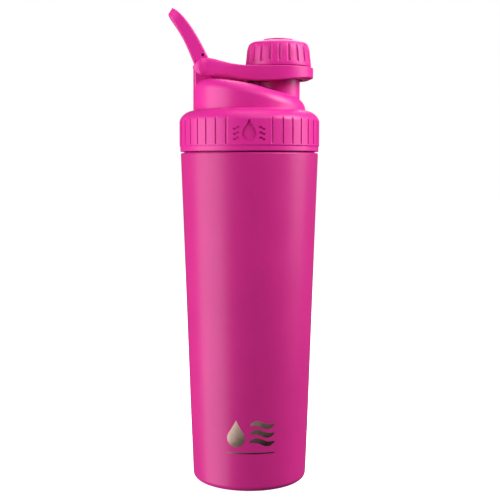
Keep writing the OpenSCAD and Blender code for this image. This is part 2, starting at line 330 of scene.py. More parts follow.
# Materials ----------------------------------------------------------------------------
class Nodes:
    """A material's node tree, with short calls for the nodes used here."""

    def __init__(self, name):
        self.mat = bpy.data.materials.new(name)
        self.mat.use_nodes = True
        self.tree = self.mat.node_tree
        self.shader = self.tree.nodes["Principled BSDF"]
        self.coord = self.add("ShaderNodeTexCoord").outputs["Object"]

    def add(self, kind, **settings):
        """A new node, with its own settings."""
        node = self.tree.nodes.new(kind)
        for k, v in settings.items():
            setattr(node, k, v)
        return node

    def link(self, a, b):
        self.tree.links.new(a, b)

    def stretched(self, sx, sy, sz):
        """Object coordinates scaled along each axis."""
        m = self.add("ShaderNodeMapping")
        m.inputs["Scale"].default_value = (sx, sy, sz)
        self.link(self.coord, m.inputs["Vector"])
        return m.outputs["Vector"]

    def noise(self, scale, detail=3.0, rough=0.55, vector=None):
        """Noise of scale features to the metre."""
        n = self.add("ShaderNodeTexNoise")
        n.inputs["Scale"].default_value = scale
        n.inputs["Detail"].default_value = detail
        n.inputs["Roughness"].default_value = rough
        self.link(vector or self.coord, n.inputs["Vector"])
        return n.outputs["Fac"]

    def color(self, fac, stops):
        """The base colour: a ramp of (position, colour) stops over fac."""
        r = self.add("ShaderNodeValToRGB")
        first, last = r.color_ramp.elements
        first.position, first.color = stops[0][0], (*stops[0][1], 1)
        last.position, last.color = stops[-1][0], (*stops[-1][1], 1)
        for p, c in stops[1:-1]:
            r.color_ramp.elements.new(p).color = (*c, 1)
        self.link(fac, r.inputs["Fac"])
        self.link(r.outputs["Color"], self.shader.inputs["Base Color"])

    def roughness(self, fac, lo, hi):
        """Roughness from lo to hi over the noise in fac."""
        self.link(self.spread(fac, lo, hi), self.shader.inputs["Roughness"])

    def spread(self, fac, lo, hi, low=0.3, high=0.7):
        """Maps fac from low..high to lo..hi."""
        m = self.add("ShaderNodeMapRange")
        for k, v in (("From Min", low), ("From Max", high), ("To Min", lo), ("To Max", hi)):
            m.inputs[k].default_value = v
        self.link(fac, m.inputs["Value"])
        return m.outputs["Result"]

    def math(self, op, a, b=None):
        """One operation on numbers or sockets."""
        m = self.add("ShaderNodeMath", operation=op)
        for i, v in enumerate((a, b)):
            if v is None:
                continue
            if isinstance(v, (int, float)):
                m.inputs[i].default_value = v
            else:
                self.link(v, m.inputs[i])
        return m.outputs[0]

    def bump(self, layers):
        """Layers of (height, depth in millimetres)."""
        normal = None
        for height, depth in layers:
            b = self.add("ShaderNodeBump")
            b.inputs["Strength"].default_value = 1
            b.inputs["Distance"].default_value = depth * MM
            self.link(height, b.inputs["Height"])
            if normal is not None:
                self.link(normal, b.inputs["Normal"])
            normal = b.outputs["Normal"]
        self.link(normal, self.shader.inputs["Normal"])

    def set(self, **values):
        """Constants on the shader's own sockets."""
        for k, v in values.items():
            self.shader.inputs[k.replace("_", " ")].default_value = v


def tinted(color, k):
    """A colour made lighter or darker by the factor k."""
    return tuple(min(1, c * k) for c in color)


def powder_coat():
    """Sprayed magenta coat: a fine even grain, faint clouding and soft gloss."""
    m = Nodes("powder_coat_magenta")
    cloud = m.noise(22, 4)
    grain = m.noise(1500, 2)
    mix = m.math("ADD", m.math("MULTIPLY", cloud, 0.6), m.math("MULTIPLY", grain, 0.4))
    m.color(mix, [(0.36, tinted(PAINT_TONE, 0.93)), (0.64, tinted(PAINT_TONE, 1.07))])
    m.roughness(m.noise(60, 5), 0.34, 0.39)
    m.bump([(grain, 0.02), (m.noise(420, 3), 0.012)])
    m.set(IOR=1.5, Specular_IOR_Level=0.2)
    return m.mat


def satin_plastic(name, base, rough=0.36):
    """Moulded polypropylene: spark-eroded satin texture, faint flow clouding and rub marks."""
    m = Nodes(name)
    flow = m.noise(30, 3, vector=m.stretched(1, 1, 0.35))
    m.color(flow, [(0.35, tinted(base, 0.96)), (0.65, tinted(base, 1.04))])
    rubs = m.noise(260, 4, vector=m.stretched(1, 1, 6))
    m.roughness(rubs, rough - 0.03, rough + 0.05)
    m.bump([(m.noise(2600, 2), 0.006), (m.noise(90, 2), 0.02)])
    m.set(IOR=1.49, Specular_IOR_Level=0.25)
    return m.mat


def turned_steel(name, tone=(0.72, 0.71, 0.70), rough=0.28, spread=0.06):
    """Spun stainless steel: fine lines round the bottle's axis."""
    m = Nodes(name)
    s = m.add("ShaderNodeSeparateXYZ")
    m.link(m.coord, s.inputs[0])
    xx, yy = (m.math("MULTIPLY", s.outputs[i], s.outputs[i]) for i in (0, 1))
    r = m.math("SQRT", m.math("ADD", xx, yy))
    c = m.add("ShaderNodeCombineXYZ")
    m.link(r, c.inputs[0])
    m.link(s.outputs[2], c.inputs[1])
    lines = m.noise(3200, 5, 0.7, vector=c.outputs[0])
    blot = m.noise(35, 4)
    tone_mix = m.math("ADD", m.math("MULTIPLY", lines, 0.6), m.math("MULTIPLY", blot, 0.4))
    m.color(tone_mix, [(0.3, tinted(tone, 0.86)), (0.7, tinted(tone, 1.08))])
    m.roughness(lines, rough - spread, rough + spread)
    m.bump([(lines, 0.004)])
    m.set(Metallic=1.0)
    return m.mat


def solder():
    """A dull bead of brazing metal, uneven and slightly oxidised."""
    m = Nodes("solder_bead")
    spots = m.noise(700, 4)
    m.color(spots, [(0.35, (0.30, 0.30, 0.31)), (0.65, (0.52, 0.51, 0.49))])
    m.roughness(spots, 0.45, 0.65)
    m.bump([(m.noise(500, 3), 0.05)])
    m.set(Metallic=1.0)
    return m.mat


def silicone():
    """Milky white seal rubber with a fine matt surface."""
    m = Nodes("milky_silicone")
    haze = m.noise(80, 4)
    m.color(haze, [(0.35, (0.80, 0.78, 0.77)), (0.65, (0.90, 0.88, 0.87))])
    m.roughness(m.noise(400, 3), 0.46, 0.6)
    m.bump([(m.noise(1800, 2), 0.01)])
    m.set(Subsurface_Weight=0.25, Subsurface_Scale=0.003, IOR=1.43)
    return m.mat


def etched_steel():
    """Laser-cleaned steel under the paint, with fine hatching: a warm tone with random blotches, bright at the
    upper left and dark at the lower right, a painted reflection of the lights.
    """
    m = Nodes("etched_steel")
    s = m.add("ShaderNodeSeparateXYZ")
    m.link(m.coord, s.inputs[0])
    # Painted reflection: the colour runs from bright at the upper left to dark at the lower right.
    painted_reflection_ramp = m.math("SUBTRACT", m.math("MULTIPLY", s.outputs[2], 1.0), m.math("MULTIPLY", s.outputs[0], 0.75))
    blot = m.noise(260, 4)
    fac = m.spread(painted_reflection_ramp, 0.0, 1.0, 0.024, 0.052)
    fac = m.math("ADD", m.math("MULTIPLY", fac, 0.75), m.math("MULTIPLY", blot, 0.25))
    m.color(fac, [(0.10, (0.028, 0.019, 0.016)), (0.5, (0.184, 0.124, 0.096)), (0.90, (0.62, 0.45, 0.375))])
    hatch = m.noise(2400, 3, vector=m.stretched(0.15, 1, 1))
    m.roughness(hatch, 0.34, 0.5)
    m.bump([(hatch, 0.008)])
    m.set(Metallic=0.55)
    return m.mat


# Body ---------------------------------------------------------------------------------
def body_r(z):
    """Radius of the painted wall: a cone that swells very slightly above the base."""
    t = z / BODY_H
    return BASE_R + (TOP_R - BASE_R) * t + 2.4 * t * (1 - t) ** 3


def make_shell(paint):
    """Painted outer wall, from the rolled foot up to the step under the lid."""
    rise = [(body_r(z), z, 0) for z in np.linspace(20, BODY_H - 12, 12)]
    foot = [(COVER_R + 0.05, 1.1, 0), (COVER_R + 0.05, 0, 0.45), (body_r(0), 0, BASE_CORNER)]
    step = [(body_r(BODY_H), BODY_H, 0.9), (STEP_R, BODY_H, 0.15), (STEP_R, BODY_H + STEP_H, 0.15),
            (NECK_R + 0.15, BODY_H + STEP_H, 0.4), (NECK_R + 0.15, PAINT_TOP, 0.1)]
    inside = [(NECK_R - 0.03, PAINT_TOP, 0), (NECK_R - 0.03, BODY_H - 1.2, 0),
              (body_r(BODY_H) - SKIN, BODY_H - 1.2, 0), (body_r(BODY_H / 2) - SKIN, BODY_H / 2, 0),
              (body_r(0) - SKIN, 1.1, BASE_CORNER)]
    profile = rounded([*foot, *rise, *step, *inside], closed=True, steps=9)
    shell = lathe("painted_shell", profile, ring=True, n=256)
    finish_piece(shell, "bottle", "shell_paint", paint, "outer_shell")


def make_neck(steel):
    """The bare steel neck, with its two-start thread."""
    inner = NECK_R - SKIN
    top = NECK_TOP - 0.8
    profile = [(NECK_R, top), (NECK_R, NECK_LOW), (inner, NECK_LOW), (inner, top)]
    neck = lathe("threaded_neck", profile, ring=True)
    threads = [rib(f"start_{i}", NECK_R - 0.2, 41.9, 225, THREAD_LEAD, THREAD_TURNS, 180 * i)
               for i in range(THREAD_STARTS)]
    combine(neck, threads, "UNION")
    finish_piece(neck, "bottle", "bare_steel", steel)


def make_base(paint):
    """The press-in base cover: a shallow dish with a rolled rim."""
    r = COVER_R - 0.1
    cover = lathe("base_dish", rounded(
        [(0.3, 0.32, 0), (r - 7, 0.32, 1), (r - 5, 0.06, 0.6), (r - 0.5, 0.06, 0.3), (r, 0.3, 0.2),
         (r, 0.5, 0), (0.3, 0.5, 0)]))
    finish_piece(cover, "bottle", "shell_paint", paint, "base_cover")


def relief(name, patch, place, low, high):
    """A thin solid over a grid of (u, v) points, between two heights on a curved surface."""
    p = np.asarray(patch, float)
    n, m = p.shape[:2]
    verts = [place(u, v, out) for out in (high, low) for row in p for u, v in row]
    faces, k = [], n * m
    for i in range(n - 1):
        for j in range(m - 1):
            a = i * m + j
            faces += [(a, a + 1, a + m + 1, a + m), (k + a, k + a + m, k + a + m + 1, k + a + 1)]
    for j in range(m - 1):
        b = (n - 1) * m + j
        faces += [(j, k + j, k + j + 1, j + 1), (b, b + 1, k + b + 1, k + b)]
    for i in range(n - 1):
        a, b = i * m, i * m + m - 1
        faces += [(a, a + m, k + a + m, k + a), (b, k + b, k + b + m, b + m)]
    ob = mesh_piece(name, verts, faces)
    v = np.array(verts)
    if sum(float(np.dot(v[f[0]], np.cross(v[f[1]], v[f[2]]) + np.cross(v[f[2]], v[f[3]]))) for f in faces) < 0:
        ob.data.flip_normals()
    return ob


def drop_patch(u, v, r, cols=13, rows=26):
    """A water drop: a circle of radius r at (u, v) drawn up to a point two radii above."""
    out = []
    for t in np.linspace(0, 1, rows):
        h = -r + 3 * r * t
        tangent = r / 2
        if h <= tangent:
            half = math.sqrt(max(r * r - h * h, 0))
        else:
            s = (2 * r - h) / (2 * r - tangent)
            half = math.sqrt(r * r - tangent * tangent) * max(s, 0) ** 1.12
        half = max(half, 0.02)
        out.append([(u + half * q, v + h) for q in np.linspace(-1, 1, cols)])
    return out


def wave_patch(u0, u1, v, swing, width, cols=48, rows=4):
    """A wave stroke from u0 to u1, thick in its middle and pointed at its ends."""
    q = np.linspace(0, 1, cols)
    u = u0 + (u1 - u0) * q
    mid = v + swing * np.sin(2 * math.pi * q)
    half = np.maximum(width / 2 * np.sin(math.pi * q) ** 0.45, 0.02)
    return [[(a, b + h * s) for a, b, h in zip(u, mid, half)] for s in np.linspace(-1, 1, rows)]


def on_cylinder(radius):
    """Places (u, v) on the front of a turned surface: u round it from the front, v its height."""
    def place(u, v, out):
        r = radius(v)
        a = u / r - math.pi / 2
        return ((r + out) * math.cos(a), (r + out) * math.sin(a), v)
    return place


def make_mark(steel):
    """Generic drop and waves, etched through the paint low on the front."""
    place = on_cylinder(body_r)

    def etched(name, patch):
        return relief(name, patch, place, MARK_DEPTH, MARK_PROUD)

    parts = [etched("etched_mark", drop_patch(-8.6, 35.5, 5.9))]
    for i, v in enumerate(MARK_WAVE_Z):
        parts.append(etched(f"wave_{i}", wave_patch(0.4 - 0.3 * i, 16.6, v, 1.25, 3.6)))
    parts.append(etched("bar", [[(u, v) for u in np.linspace(-14.5, 16.5, 40)] for v in MARK_BAR_Z]))
    finish_piece(join(parts), "bottle", "bare_steel", steel)


# Lid ----------------------------------------------------------------------------------
# Height of the dome's top along the line from the hinge to the spout
DOME_TOP = monotone([(-37, 264.6), (-30, 264.3), (-21, 263.6), (-12, 262.25), (1.6, 259.6), (12.8, 256.6),
                     (24.5, 254.2), (27.8, 253.5), (31, 252.5), (37, 250.8)])


def dome_section(theta, wall_r, rim, drop, start):
    """Points of the dome over one direction: up the wall from start, over the rim, in to the middle."""
    c = math.cos(theta)
    centre_r = wall_r - rim
    r = centre_r
    for _ in range(3):
        painted_reflection_ramp = float(DOME_TOP(r * c + 0.5) - DOME_TOP(r * c - 0.5)) * c
        end = math.pi / 2 + math.atan(painted_reflection_ramp)
        r = centre_r + rim * math.cos(end)
    zc = float(DOME_TOP(r * c)) - drop - rim * math.sin(end)
    first = math.asin(min(0.9, max(0, (start - zc) / rim)))
    foot = centre_r + rim * math.cos(first)
    out = [(foot, start + (max(zc, start) - start) * t) for t in (0.25, 0.5, 0.75)]
    for k in range(17):
        a = first + (end - first) * k / 16
        out.append((centre_r + rim * math.cos(a), zc + rim * math.sin(a)))
    for t in (0.88, 0.76, 0.64, 0.52, 0.4, 0.28, 0.16):
        out.append((r * t, float(DOME_TOP(r * t * c)) - drop))
    return out


def rim_radius(theta):
    """The dome's rim opens out towards the spout."""
    return 7.0 + 2.0 * smoothstep(-math.cos(theta), 0.4, -1)


def collar_columns():
    """Directions round the collar, dense at every groove, with the groove depth at each."""
    pitch = 360 / GROOVE_COUNT
    angles, depths = [], []
    for i in range(GROOVE_COUNT):
        centre = -90 + i * pitch
        away = min(i, GROOVE_COUNT - i)
        if away <= 1:
            q = np.linspace(-0.5, 0.5, 11)[:-1]
            angles += list(centre + q * pitch)
            depths += [0.0] * len(q)
            continue
        half, depth = (0.85, 0.5) if away == 2 else (0.66, 0.62)
        w = math.degrees(half / GRIP_R)
        for s in (-1.35, -1, -0.93, -0.75, -0.45, 0, 0.45, 0.75, 0.93, 1, 1.35):
            angles.append(centre + s * w)
            depths.append(depth * math.sqrt(max(0, 1 - s * s)) if abs(s) < 1 else 0.0)
        for q in (0.28, 0.39, 0.5, 0.61, 0.72):
            angles.append(centre + q * pitch)
            depths.append(0.0)
    order = np.argsort(angles)
    return np.radians(np.array(angles)[order]), np.array(depths)[order]


def collar_profile():
    """Outer profile of the collar from its bottom edge to the dome's wall: (r, z, groove share)."""
    foot = GRIP_R - 0.45
    rows = [(r, z, 0) for r, z in rounded(
        [(COLLAR_BORE_R, LID_BOTTOM + 0.8, 0), (STEP_R + 0.2, LID_BOTTOM + 0.4, 0),
         (STEP_R + 0.2, SKIRT_Z, 0.2), (foot, SKIRT_Z, 0.45),
         (foot, 220.7, 0.5), (GRIP_R, 221.45, 0.5), (GRIP_R, GROOVE_Z - 0.2, 0)], steps=4)]
    rows += [(GRIP_R, GROOVE_Z, 0.6), (GRIP_R, GROOVE_Z + 0.25, 0.92), (GRIP_R, GROOVE_Z + 0.6, 1)]
    rows += [(GRIP_R, z, 1) for z in np.linspace(GROOVE_Z + 2.5, SHOULDER_Z - 1, 7)]
    a, power = GRIP_R - SHOULDER_R, 1.7
    for t in np.radians(np.concatenate([np.linspace(0, 76, 18), [80, 83.5, 86.5, 89]])):
        rows.append((SHOULDER_R + a * math.cos(t) ** (2 / power),
                     SHOULDER_Z + SHOULDER_H * math.sin(t) ** (2 / power), 1))
    top = SHOULDER_Z + SHOULDER_H
    for t in np.radians(np.linspace(20, 90, 5)):
        rows.append((SHOULDER_R - FILLET * math.sin(t), top + FILLET * (1 - math.cos(t)), 0))
    return rows


def make_lid_skin():
    """Collar and dome in one closed skin: up the outside, then down the inside."""
    angles, depths = collar_columns()
    cos, sin = np.cos(angles), np.sin(angles)
    rows = []

    def row(r, z):
        r = np.broadcast_to(r, angles.shape)
        rows.append(np.stack([r * cos, r * sin, np.broadcast_to(z, angles.shape)], 1))

    for r, z, share in collar_profile():
        row(np.minimum(r, GRIP_R - depths * share) if share else r, z)
    start = SHOULDER_Z + SHOULDER_H + FILLET
    outer = np.array([dome_section(t, DOME_R, rim_radius(t), 0, start) for t in angles])
    for k in range(outer.shape[1]):
        row(outer[:, k, 0], outer[:, k, 1])
    inner_r, start = DOME_R - DOME_WALL, HOLLOW_Z + 0.5
    inner = np.array([dome_section(t, inner_r, max(1.5, rim_radius(t) - DOME_WALL * 0.7), DOME_WALL, start)
                      for t in angles])
    for k in range(inner.shape[1] - 1, -1, -1):
        row(inner[:, k, 0], inner[:, k, 1])
    grid_bore, grid_z = 34.8, 231
    seat_bore = 36.6
    for r, z in rounded([(inner_r, HOLLOW_Z, 0), (grid_bore, HOLLOW_Z - 1, 0.5), (grid_bore, grid_z, 0.5),
                         (seat_bore, grid_z, 0.5), (seat_bore, SEAT_Z, 0.3), (COLLAR_BORE_R, SEAT_Z, 0.3),
                         (COLLAR_BORE_R, LID_BOTTOM + 3, 0)], steps=3):
        row(r, z)
    return sweep("lid_shell", rows)


def make_lug():
    """The hinge tower at the back of the dome, flush with its wall."""
    half, r = 10.8, 6.4
    wall = DOME_R - 0.04

    def outline(y, inset):
        edge = -math.sqrt(wall * wall - y * y) + inset
        pts = [(edge, 250), (edge, 258), (edge, 265)]
        for a in np.radians(np.linspace(180, 0, 25)):
            pts.append((max(edge, HINGE_X + (r - inset) * math.cos(a)), HINGE_Z + (r - inset) * math.sin(a)))
        right = bezier([(HINGE_X + r - inset, HINGE_Z - 1), (HINGE_X + r - inset, 266.5),
                        (HINGE_X + r + 1.2 - inset, 264), (HINGE_X + r + 6 - inset, 262)], 9)
        pts += [tuple(p) for p in right] + [(HINGE_X + r + 6 - inset, 250)]
        return [(x, y, z) for x, z in pts]

    rim = 0.8
    stations = []
    for t in np.radians(np.linspace(0, 90, 6)):
        stations.append((-half + rim - rim * math.cos(t), rim - rim * math.sin(t)))
    stations += [(y, 0) for y in np.linspace(-half + 2, half - 2, 7)]
    stations += [(-y, d) for y, d in reversed(stations[:6])]
    return sweep("hinge_tower", [outline(y, d) for y, d in stations])


def lid_solids():
    """What is added to the lid's skin: hinge tower, spout, and the threads of both."""
    tube = lathe("spout", rounded(
        [(0.5, 250, 0), (SPOUT_R, 250, 0), (SPOUT_R, 266.9, 0.5), (SPOUT_ROOT_R, 267.6, 0.4),
         (SPOUT_ROOT_R, SPOUT_TOP, 0.6), (0.5, SPOUT_TOP, 0)]), x=CAP_X)
    solids = [make_lug(), tube, rib("spout_thread", SPOUT_ROOT_R - 0.2, 13.9, 272, CAP_LEAD, 1.5, 0, x=CAP_X)]
    return solids + [rib(f"lid_start_{i}", 43.15, 41.1, 227.25, THREAD_LEAD, THREAD_TURNS, 180 * i)
                     for i in range(THREAD_STARTS)]


def lid_bores():
    """The drinking bore, with its softened lip, and the hole for the pin."""
    lip = SPOUT_BORE_R + 0.8
    bore = lathe("bore", [(0.5, 244), (SPOUT_BORE_R, 244), (SPOUT_BORE_R, SPOUT_TOP - 0.6),
                          (SPOUT_BORE_R + 0.25, SPOUT_TOP - 0.15), (lip, SPOUT_TOP + 0.1),
                          (lip, SPOUT_TOP + 2), (0.5, SPOUT_TOP + 2)], x=CAP_X, n=128)
    return [bore, cylinder_y("pin_hole", HINGE_X, HINGE_Z, PIN_R, -20, 20)]


def lid_emblem():
    """A plain drop between six short waves, sunk into the smooth front panel."""
    place = on_cylinder(lambda v: GRIP_R)
    cuts = [relief("drop_cut", drop_patch(0, EMBLEM_DROP_Z, 4.5), place, EMBLEM_DEPTH - 0.1, 1)]
    for i, s in enumerate((-1, 1)):
        for k, v in enumerate(EMBLEM_WAVE_Z):
            u0, u1 = sorted((s * (5.6 + 0.2 * k), s * 10.2))
            stroke = wave_patch(u0, u1, v, 0.6 * s, 1.5)
            cuts.append(relief(f"wave_cut_{i}_{k}", stroke, place, EMBLEM_DEPTH, 1))
    return cuts


def make_lid(plastic):
    """The screw lid: its skin, hinge tower, spout, threads, bores and sunk emblem."""
    lid = make_lid_skin()
    combine(lid, lid_solids(), "UNION")
    combine(lid, lid_bores() + lid_emblem(), "DIFFERENCE")
    finish_piece(lid, "lid", "lid_plastic", plastic, "lid_body", sharp=36)


# Strap --------------------------------------------------------------------------------
# Its upper and lower edges and its outer and inner faces, each against x from the hinge to the cap
STRAP_TOP = monotone([(-36, 274.6), (-33.5, 276.1), (-30.2, 277.1), (-26.5, 277.4), (-22.5, 276.75),
                      (-18.7, 275.75), (-10.4, 273.5), (-2, 272.35), (7, 272.1), (18, 272.15), (42, 272.1)])
STRAP_BOTTOM = monotone([(-36, 268.6), (-33.5, 267.1), (-30.2, 266.1), (-22, 266.0), (-15.5, 265.3),
                         (-7.9, 263.9), (0, 262.95), (7.6, 262.5), (15.3, 262.6), (23, 263.2),
                         (31, 264.3), (42, 265.45)])
STRAP_OUTER = monotone([(-36.3, 14.75), (-36.1, 15.2), (-35.5, 15.85), (-34.5, 16.6), (-33, 17.4),
                        (-31.8, 17.85), (-30.8, 18.0), (-29.8, 17.9), (-28.6, 17.5), (-27, 17.25),
                        (-24, 17.6), (-20, 18.2), (-10, 19.6), (0, 20.9), (10, 22.1), (16.5, 22.75),
                        (18.9, 22.85)])
STRAP_INNER = monotone([(-36, 14.7), (-22, 14.7), (-12, 16.2), (-2, 18), (7, 19.45), (16.5, 20.35),
                        (18.9, 20.45)])


def strap_section(x, outer, inner):
    """Loop of (across, z): a tall band, more barrel-shaped near the hinge."""
    top, bottom = float(STRAP_TOP(x)), float(STRAP_BOTTOM(x))
    end = max(0.0, min(1.0, (x + 36.33) / 6))
    if end < 1:
        mid = HINGE_Z - 0.1
        k = math.sqrt(max(0.02, 1 - (1 - end) ** 2))
        top, bottom = mid + (top - mid) * k, mid + (bottom - mid) * k
    root = 1 - float(smoothstep(x, -20, -4))
    height, width = top - bottom, outer - inner
    upper = (0.7 + 2.1 * root, 0.7 + 4.0 * root)
    lower = (0.7 + 1.1 * root, 0.8 + 2.9 * root)
    limit = 0.46 * height / max(upper[1], lower[1])
    upper = (min(upper[0], 0.8 * width), upper[1] * min(1, limit))
    lower = (min(lower[0], 0.6 * width), lower[1] * min(1, limit))
    small = min(0.5, 0.2 * width, 0.2 * height)
    pts = []
    for a in np.radians(np.linspace(-90, 0, 8)):
        pts.append((outer - lower[0] * (1 - math.cos(a)), bottom + lower[1] * (1 + math.sin(a))))
    for a in np.radians(np.linspace(0, 90, 8)):
        pts.append((outer - upper[0] * (1 - math.cos(a)), top - upper[1] * (1 - math.sin(a))))
    for a in np.radians(np.linspace(90, 180, 5)):
        pts.append((inner + small * (1 + math.cos(a)), top - small * (1 - math.sin(a))))
    for a in np.radians(np.linspace(180, 270, 5)):
        pts.append((inner + small * (1 + math.cos(a)), bottom + small * (1 + math.sin(a))))
    return pts


def strap_band():
    """One band from the near hinge end, round the cap, to the far hinge end."""
    end = [-36.3, -36.2, -36, -35.6, -35.1, -34.4, -33.6, -32.7, -31.7, -30.6]
    xs = np.concatenate([end, np.linspace(-29.4, CAP_X, 50)])
    arm = [[(x, -p, z) for p, z in strap_section(x, float(STRAP_OUTER(x)), float(STRAP_INNER(x)))] for x in xs]
    bend = []
    for a in np.radians(np.linspace(-90, 90, 61))[1:-1]:
        x = CAP_X + RING_R * math.cos(a)
        bend.append([(CAP_X + p * math.cos(a), p * math.sin(a), z)
                     for p, z in strap_section(min(x, 41.7), RING_R, BORE_R + 0.05)])
    back = [[(x, -y, z) for x, y, z in loop] for loop in reversed(arm)]
    return sweep("tether_strap", arm + bend + back)


def cap_ring():
    """The ring that holds the cap, with a lip over the cap's flange."""
    ring = []
    outer = RING_R - 0.05
    for a in np.linspace(0, 2 * math.pi, 144, endpoint=False):
        x = CAP_X + 21.6 * math.cos(a)
        top, bottom = min(float(STRAP_TOP(x)), CAP_LOW) - 0.1, float(STRAP_BOTTOM(x)) + 0.03
        section = rounded([(BORE_R, bottom, 0.4), (outer, bottom, 0.6), (outer, top, 0.6), (LIP_R, top, 0.5),
                           (LIP_R, LIP_Z, 0.3), (BORE_R, LIP_Z, 0.15)], closed=True, steps=3)
        ring.append([(CAP_X + r * math.cos(a), r * math.sin(a), z) for r, z in section])
    return sweep("cap_ring", ring, ring=True)


def make_strap(plastic):
    """The tether strap, with sockets for the ends of the pin."""
    strap = strap_band()
    combine(strap, [cap_ring()], "UNION")
    sockets = [cylinder_y(f"pin_socket_{i}", HINGE_X, HINGE_Z, PIN_R + EASE, s * 14, s * 17.1)
               for i, s in enumerate((-1, 1))]
    combine(strap, sockets, "DIFFERENCE")
    finish_piece(strap, "strap", "lid_plastic", plastic, "cap_strap", sharp=40)


# Carry loop ---------------------------------------------------------------------------
def loop_edges():
    """The two edges of the loop in side view, by distance along it from the hinge pin."""
    front = bezier([(-26.47, 278.12), (-32.28, 289.65), (-38.39, 301.93), (-48.93, 309.97)], LOOP_STEPS)
    back = bezier([(-35.3, 272.6), (-39.7, 284.23), (-44.5, 294.8), (-52.13, 304.85)], LOOP_STEPS)
    right = np.vstack([[(-26.2, 270.8)], front, [(-50.6, 310.9)]])
    left = np.vstack([[(-34.4, 269.0)], back, [(-52.9, 306.1)]])

    def along(p):
        return -(p[:, 0] - HINGE_X) * math.sin(LOOP_LEAN) + (p[:, 1] - HINGE_Z) * math.cos(LOOP_LEAN)

    def edge(p):
        d = along(p)
        return lambda h: np.array([np.interp(h, d, p[:, 0]), np.interp(h, d, p[:, 1])])

    return edge(left), edge(right)


def arch(s, w):
    """Inner and outer points (y, distance) of the arch at s from 0 (foot) to 1 (middle of the bar)."""
    reach, corner, inner_reach, inner_corner = 41.3 + 3.0 * w, 9.0, 36.4, 6.0
    if s < LEG_END:
        t = s / LEG_END
        return (LOOP_IN, (inner_reach - inner_corner) * t), (LOOP_OUT, (reach - corner) * t)
    if s < BEND_END:
        a = (s - LEG_END) / (BEND_END - LEG_END) * math.pi / 2
        c, n = math.cos(a), math.sin(a)
        return ((LOOP_IN - inner_corner + inner_corner * c, inner_reach - inner_corner + inner_corner * n),
                (LOOP_OUT - corner + corner * c, reach - corner + corner * n))
    t = (s - BEND_END) / (1 - BEND_END)
    return ((LOOP_IN - inner_corner) * (1 - t), inner_reach), ((LOOP_OUT - corner) * (1 - t), reach)


def loop_section():
    """A rounded rectangle: corner (across, along) and the direction from that corner's centre."""
    section = []
    for cx, cw, a0 in ((1, 1, 0), (0, 1, 90), (0, 0, 180), (1, 0, 270)):
        for a in np.radians(np.linspace(a0, a0 + 90, 6)):
            section.append((cx, cw, math.cos(a), math.sin(a)))
    return section


def loop_arch():
    """The loop's two legs and its bar, in one sweep from foot to foot."""
    left, right = loop_edges()
    section = loop_section()
    loops = []
    leg, bend = np.linspace(0, LEG_END, 16), np.linspace(LEG_END, BEND_END, 14)
    half = np.concatenate([leg, bend[1:], np.linspace(BEND_END, 1, 7)[1:]])
    stations = [(s, -1) for s in half] + [(s, 1) for s in half[::-1][1:]]
    for s, side in stations:
        thick = 3.3 + 1.6 * smoothstep(s, LEG_END, BEND_END)
        loop = []
        for cx, cw, c, n in section:
            rp = 1.15 / thick
            rw = (1.15 + 0.9 * smoothstep(s, 0.6, 0.9) * cx) / 8.2
            p = cx + rp * (c - (1 if cx else -1))
            w = cw + rw * (n - (1 if cw else -1))
            (y0, h0), (y1, h1) = arch(s, w)
            y, h = y0 + (y1 - y0) * p, h0 + (h1 - h0) * p
            e0, e1 = left(h), right(h)
            x, z = e0 + (e1 - e0) * w
            loop.append((x, side * y, z))
        loops.append(loop)
    return sweep("carry_arch", loops)


def loop_eye(i, side):
    """The round eye that turns on the pin."""
    ends = rounded([(LOOP_IN, 0.4, 0), (LOOP_IN, 4.7, 0.3), (LOOP_OUT, 4.7, 0.3), (LOOP_OUT, 0.4, 0)], steps=3)
    a = np.linspace(0, 2 * math.pi, 64, endpoint=False)
    return sweep(f"eye_{i}", [np.stack([HINGE_X + r * np.cos(a), np.full(a.shape, side * y),
                                        HINGE_Z + r * np.sin(a)], 1) for y, r in ends])


def make_loop(plastic):
    """The carry loop, its two eyes, and the small holes near its foot."""
    carry = loop_arch()
    combine(carry, [loop_eye(i, s) for i, s in enumerate((-1, 1))], "UNION")
    cuts = [cylinder_y("loop_pin", HINGE_X, HINGE_Z, PIN_R + EASE, -20, 20)]
    for i, s in enumerate((-1, 1)):
        cuts.append(cylinder_y(f"stop_{i}", -29.9, 279.3, 0.95, s * 11.9, s * 16, 24))
        cuts.append(cylinder_y(f"gate_{i}", -34.6, 275.2, 0.45, s * 13.6, s * 16, 20))
    combine(carry, cuts, "DIFFERENCE")
    finish_piece(carry, "loop", "lid_plastic", plastic, "carry_loop", sharp=38)


# Cap ----------------------------------------------------------------------------------
# Radius of the cap against height
CAP_SIDE = monotone([(272, 21.4), (273.5, 21.4), (278, 20.95), (283.5, 20.35), (285.2, 19.9), (286.9, 19.2),
                     (287.95, 18.15), (288.58, 16.8), (289, 15), (289.2, 13), (289.33, 11), (CAP_HI.z, DISC_R)])


def cap_columns():
    """Directions round the cap, dense at every flute, with the flute's depth at each."""
    pitch = 360 / FLUTES
    angles, depths = [], []
    w = math.degrees(1.3 / CAP_R)
    for i in range(FLUTES):
        for s in (-1.2, -1.02, -0.96, -0.85, -0.65, -0.35, 0, 0.35, 0.65, 0.85, 0.96, 1.02, 1.2):
            angles.append(FIRST_FLUTE + i * pitch + s * w)
            depths.append(FLUTE * max(0, 1 - s * s) ** 0.7 if abs(s) < 1 else 0.0)
        for q in (0.34, 0.42, 0.5, 0.58, 0.66):
            angles.append(FIRST_FLUTE + (i + q) * pitch)
            depths.append(0.0)
    return np.radians(angles), np.array(depths)


